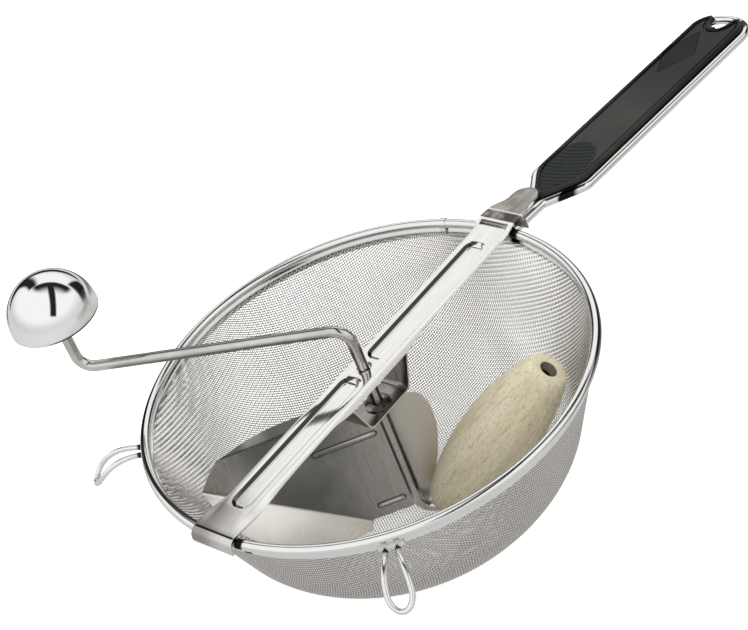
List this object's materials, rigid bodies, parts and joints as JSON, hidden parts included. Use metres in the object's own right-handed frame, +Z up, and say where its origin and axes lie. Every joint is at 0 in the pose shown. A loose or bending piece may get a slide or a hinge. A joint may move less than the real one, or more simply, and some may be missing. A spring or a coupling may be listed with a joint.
{
  "type": "rotary sieve food mill",
  "caption": "Hand cranked sieve mill: wire mesh bowl, clip-in crossbar, bent crank rod with knob, sheet blade and barrel roller, long grip.",
  "frame": {"origin": "centre of the bowl's flat bottom, on the crank and bowl axis", "axes": "+Z up along the crank axis, +X along the crossbar towards the handle, +Y to the knob's side"},
  "size_m": [0.4068, 0.229, 0.1637],
  "materials": {
    "sieve_cloth": "woven wire, satin",
    "rim_binding": "bright",
    "rim_core_wire": "plain",
    "hook_clip_left": "bright",
    "hook_clip_front": "bright",
    "pot_hook_left": "bright",
    "pot_hook_front": "bright",
    "handle_saddle": "bright",
    "handle_wire": "bright",
    "handle_grip": "moulded, satin",
    "crossbar": "bright satin",
    "rim_latch": "satin",
    "bearing_bracket": "satin",
    "crank_rod": "bright",
    "bearing_push_nut": "satin",
    "thrust_washer": "satin",
    "roller_washer": "satin",
    "axle_push_nut": "satin",
    "stem_push_nut": "satin",
    "blade": "satin",
    "wooden_roller": "turned, unfinished",
    "knob_dome": "mirror bright",
    "knob_base": "bright",
    "knob_bush": "moulded"
  },
  "bodies": {
    "sieve": {"sieve_cloth": "sieve_cloth", "rim_binding": "rim_binding", "rim_core_wire": "rim_core_wire", "hook_clip_left": "hook_clip_left", "hook_clip_front": "hook_clip_front", "pot_hook_left": "pot_hook_left", "pot_hook_front": "pot_hook_front", "handle_saddle": "handle_saddle", "handle_wire": "handle_wire", "handle_grip": "handle_grip"},
    "crossbar": {"crossbar": "crossbar", "rim_latch": "rim_latch", "bearing_bracket": "bearing_bracket"},
    "crank": {"crank_rod": "crank_rod", "bearing_push_nut": "bearing_push_nut", "thrust_washer": "thrust_washer", "roller_washer": "roller_washer", "axle_push_nut": "axle_push_nut", "stem_push_nut": "stem_push_nut", "blade": "blade"},
    "roller": {"wooden_roller": "wooden_roller"},
    "knob": {"knob_dome": "knob_dome", "knob_base": "knob_base", "knob_bush": "knob_bush"}
  },
  "joints": [
    {"name": "bar_lift", "type": "hinge", "parent": "sieve", "child": "crossbar", "pos_m": [-0.0997, 0, 0.08595], "axis": [0, -1, 0], "range_deg": [0, 40]},
    {"name": "crank_spin", "type": "hinge", "parent": "crossbar", "child": "crank", "pos_m": [0, 0, 0.087], "axis": [0, 0, 1], "continuous": true},
    {"name": "roller_spin", "type": "hinge", "parent": "crank", "child": "roller", "pos_m": [0.00651, -0.01141, 0.0076], "axis": [0.339, -0.5943, 0.7293], "continuous": true},
    {"name": "knob_spin", "type": "hinge", "parent": "crank", "child": "knob", "pos_m": [-0.06094, 0.10684, 0.1425], "axis": [0, 0, 1], "continuous": true}
  ],
  "couplings": [
    {"joint": "roller_spin", "follows": "crank_spin", "ratio": -2.4}
  ]
}
